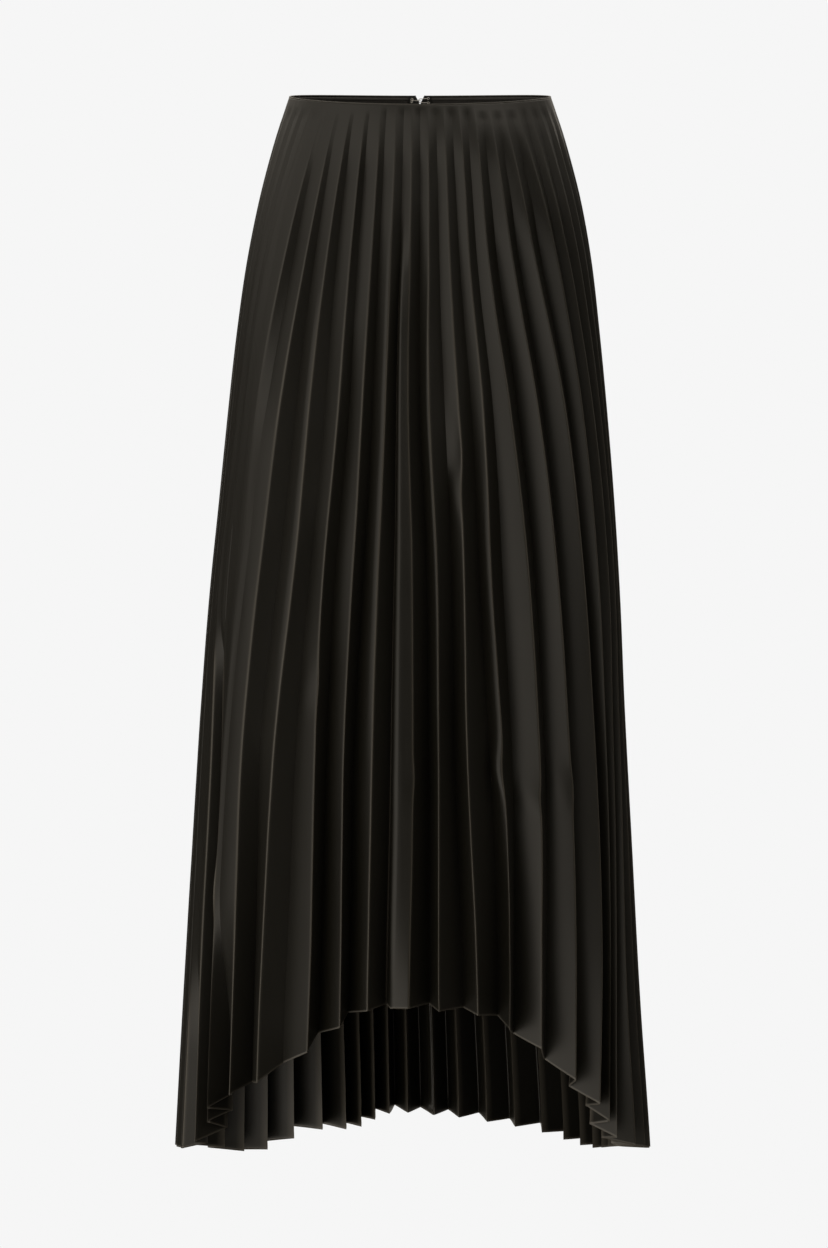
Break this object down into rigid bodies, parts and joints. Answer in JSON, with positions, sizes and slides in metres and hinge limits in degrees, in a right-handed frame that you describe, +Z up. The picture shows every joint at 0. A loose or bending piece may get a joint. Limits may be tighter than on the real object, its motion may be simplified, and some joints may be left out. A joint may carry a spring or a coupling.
{
  "type": "pleated maxi skirt",
  "caption": "Long satin skirt of pressed narrow pleats that hang open from a faced waist, lower behind, closed by a zip and a hook and eye at the centre back.",
  "frame": {"origin": "middle of the waist opening, where the wearer's waist holds the skirt up", "axes": "+Z up along the skirt, -Y towards the front, +X towards the wearer's left"},
  "size_m": [0.4824, 0.3663, 1.096],
  "materials": {
    "satin": "black satin with a soft warm sheen",
    "facing": "matt black cotton band",
    "zip_tape": "black woven tape",
    "zip_coil": "black nylon coil",
    "zip_metal": "black enamel on the slider and the pull",
    "wire": "bright nickel-plated wire"
  },
  "bodies": {
    "skirt": {"front": "satin", "back_left": "satin", "back_right": "satin", "waist_facing": "facing", "zip_tape_left": "zip_tape", "zip_tape_right": "zip_tape", "zip_coil": "zip_coil", "zip_slider": "zip_metal", "waist_hook": "wire", "waist_eye": "wire"},
    "pull": {"zip_pull": "zip_metal"}
  },
  "joints": [
    {"name": "pull_hinge", "type": "hinge", "parent": "skirt", "child": "pull", "pos_m": [0, 0.09782, -0.0072], "axis": [1, 0, 0], "range_deg": [0, 165]}
  ]
}
